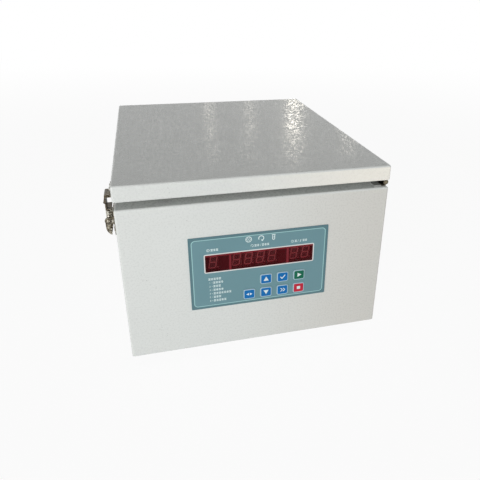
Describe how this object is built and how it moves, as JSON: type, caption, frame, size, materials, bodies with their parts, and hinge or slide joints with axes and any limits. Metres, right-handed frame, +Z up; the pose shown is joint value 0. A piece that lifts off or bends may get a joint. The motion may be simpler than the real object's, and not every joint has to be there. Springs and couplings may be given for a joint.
{
  "type": "refrigerated centrifuge",
  "caption": "Low box-shaped refrigerated bench centrifuge with a flat hinged lid, a side draw latch and a front keypad.",
  "frame": {"origin": "on the bench under the middle of the whole object", "axes": "+Z up, -Y out of the front with the keypad, +X to the hinge side"},
  "size_m": [0.3115, 0.3692, 0.223],
  "materials": {
    "case_paint": "pale grey powder coat, fine orange peel",
    "lid_paint": "pale grey powder coat, fine orange peel",
    "plated_steel": "zinc plated",
    "stainless": "spun stainless sheet",
    "screw_steel": "zinc plated fasteners",
    "rubber": "black moulded rubber",
    "gasket_rubber": "soft grey-black silicone",
    "foam": "rigid foam",
    "overlay_film": "teal printed film",
    "red_filter": "dark red filter",
    "digit_plastic": "display modules",
    "board": "green circuit board",
    "key_blue": "blue key",
    "key_green": "green key",
    "key_red": "red key",
    "black_plastic": "black moulded plastic",
    "black_enamel": "black enamel",
    "anodised": "anodised aluminium",
    "aluminium": "plain aluminium",
    "copper": "copper tube",
    "winding": "laminations and windings"
  },
  "bodies": {
    "case": {"base_plate": "plated_steel", "board_standoffs": "plated_steel", "bowl": "stainless", "case_rivets": "aluminium", "case_screws": "screw_steel", "case_shell": "case_paint", "compressor": "black_enamel", "condenser_fins": "aluminium", "condenser_tube": "copper", "control_board": "board", "display_window": "red_filter", "evaporator_coil": "copper", "fan_frame": "black_plastic", "fan_guard": "plated_steel", "hinge_case_leaf": "plated_steel", "hinge_pin": "screw_steel", "insulation_jacket": "foam", "key_switches": "black_plastic", "keypad_overlay": "overlay_film", "latch_base": "plated_steel", "latch_pivot_pins": "screw_steel", "led_digits": "digit_plastic", "lid_sensor": "black_plastic", "mains_inlet": "black_plastic", "motor_bearings": "screw_steel", "motor_housing": "aluminium", "motor_mount_plate": "plated_steel", "motor_stator": "winding", "power_board": "board", "power_switch_frame": "black_plastic", "rear_panel": "case_paint", "refrigerant_lines": "copper", "rubber_dampers": "rubber", "rubber_feet": "rubber", "shaft_seal": "gasket_rubber"},
    "lid": {"lid_shell": "lid_paint", "lid_liner": "stainless", "lid_insulation": "foam", "lid_gasket": "gasket_rubber", "lid_rivets": "aluminium", "lid_magnet": "plated_steel", "hinge_lid_leaf": "plated_steel", "latch_catch": "plated_steel"},
    "lever": {"latch_lever": "plated_steel"},
    "claw": {"latch_yoke": "screw_steel", "latch_claw": "plated_steel", "latch_springs": "screw_steel"},
    "spindle": {"rotor": "anodised", "rotor_nut": "anodised", "motor_shaft": "stainless", "motor_armature": "winding"},
    "cooling_fan": {"fan_rotor": "black_plastic"},
    "rocker": {"power_rocker": "black_plastic"},
    "key_select": {"key_select": "key_blue"},
    "key_up": {"key_up": "key_blue"},
    "key_down": {"key_down": "key_blue"},
    "key_confirm": {"key_confirm": "key_blue"},
    "key_boost": {"key_boost": "key_blue"},
    "key_start": {"key_start": "key_green"},
    "key_stop": {"key_stop": "key_red"}
  },
  "joints": [
    {"name": "lid_swing", "type": "hinge", "parent": "case", "child": "lid", "pos_m": [0.15325, -0.0016, 0.201], "axis": [0, 1, 0], "range_deg": [0, 100]},
    {"name": "latch_lever_swing", "type": "hinge", "parent": "case", "child": "lever", "pos_m": [-0.15175, -0.1616, 0.1825], "axis": [0, 1, 0], "range_deg": [0, 100]},
    {"name": "latch_claw_swing", "type": "hinge", "parent": "lever", "child": "claw", "pos_m": [-0.15075, -0.1616, 0.1739], "axis": [0, 1, 0], "range_deg": [-100, 0]},
    {"name": "rotor_spin", "type": "hinge", "parent": "case", "child": "spindle", "pos_m": [0.00475, -0.0296, 0.116], "axis": [0, 0, 1], "continuous": true},
    {"name": "fan_spin", "type": "hinge", "parent": "case", "child": "cooling_fan", "pos_m": [0.05975, 0.1669, 0.084], "axis": [0, 1, 0], "continuous": true},
    {"name": "power_rocker_swing", "type": "hinge", "parent": "case", "child": "rocker", "pos_m": [-0.07325, 0.1792, 0.164], "axis": [1, 0, 0], "range_deg": [-14, 0]},
    {"name": "key_select_press", "type": "slide", "parent": "case", "child": "key_select", "axis": [0, 1, 0], "range_m": [0, 0.0004], "stiffness_N_per_m": 1500},
    {"name": "key_up_press", "type": "slide", "parent": "case", "child": "key_up", "axis": [0, 1, 0], "range_m": [0, 0.0004], "stiffness_N_per_m": 1500},
    {"name": "key_down_press", "type": "slide", "parent": "case", "child": "key_down", "axis": [0, 1, 0], "range_m": [0, 0.0004], "stiffness_N_per_m": 1500},
    {"name": "key_confirm_press", "type": "slide", "parent": "case", "child": "key_confirm", "axis": [0, 1, 0], "range_m": [0, 0.0004], "stiffness_N_per_m": 1500},
    {"name": "key_boost_press", "type": "slide", "parent": "case", "child": "key_boost", "axis": [0, 1, 0], "range_m": [0, 0.0004], "stiffness_N_per_m": 1500},
    {"name": "key_start_press", "type": "slide", "parent": "case", "child": "key_start", "axis": [0, 1, 0], "range_m": [0, 0.0004], "stiffness_N_per_m": 1500},
    {"name": "key_stop_press", "type": "slide", "parent": "case", "child": "key_stop", "axis": [0, 1, 0], "range_m": [0, 0.0004], "stiffness_N_per_m": 1500}
  ],
  "couplings": [
    {"joint": "latch_claw_swing", "follows": "latch_lever_swing", "ratio": -1}
  ]
}
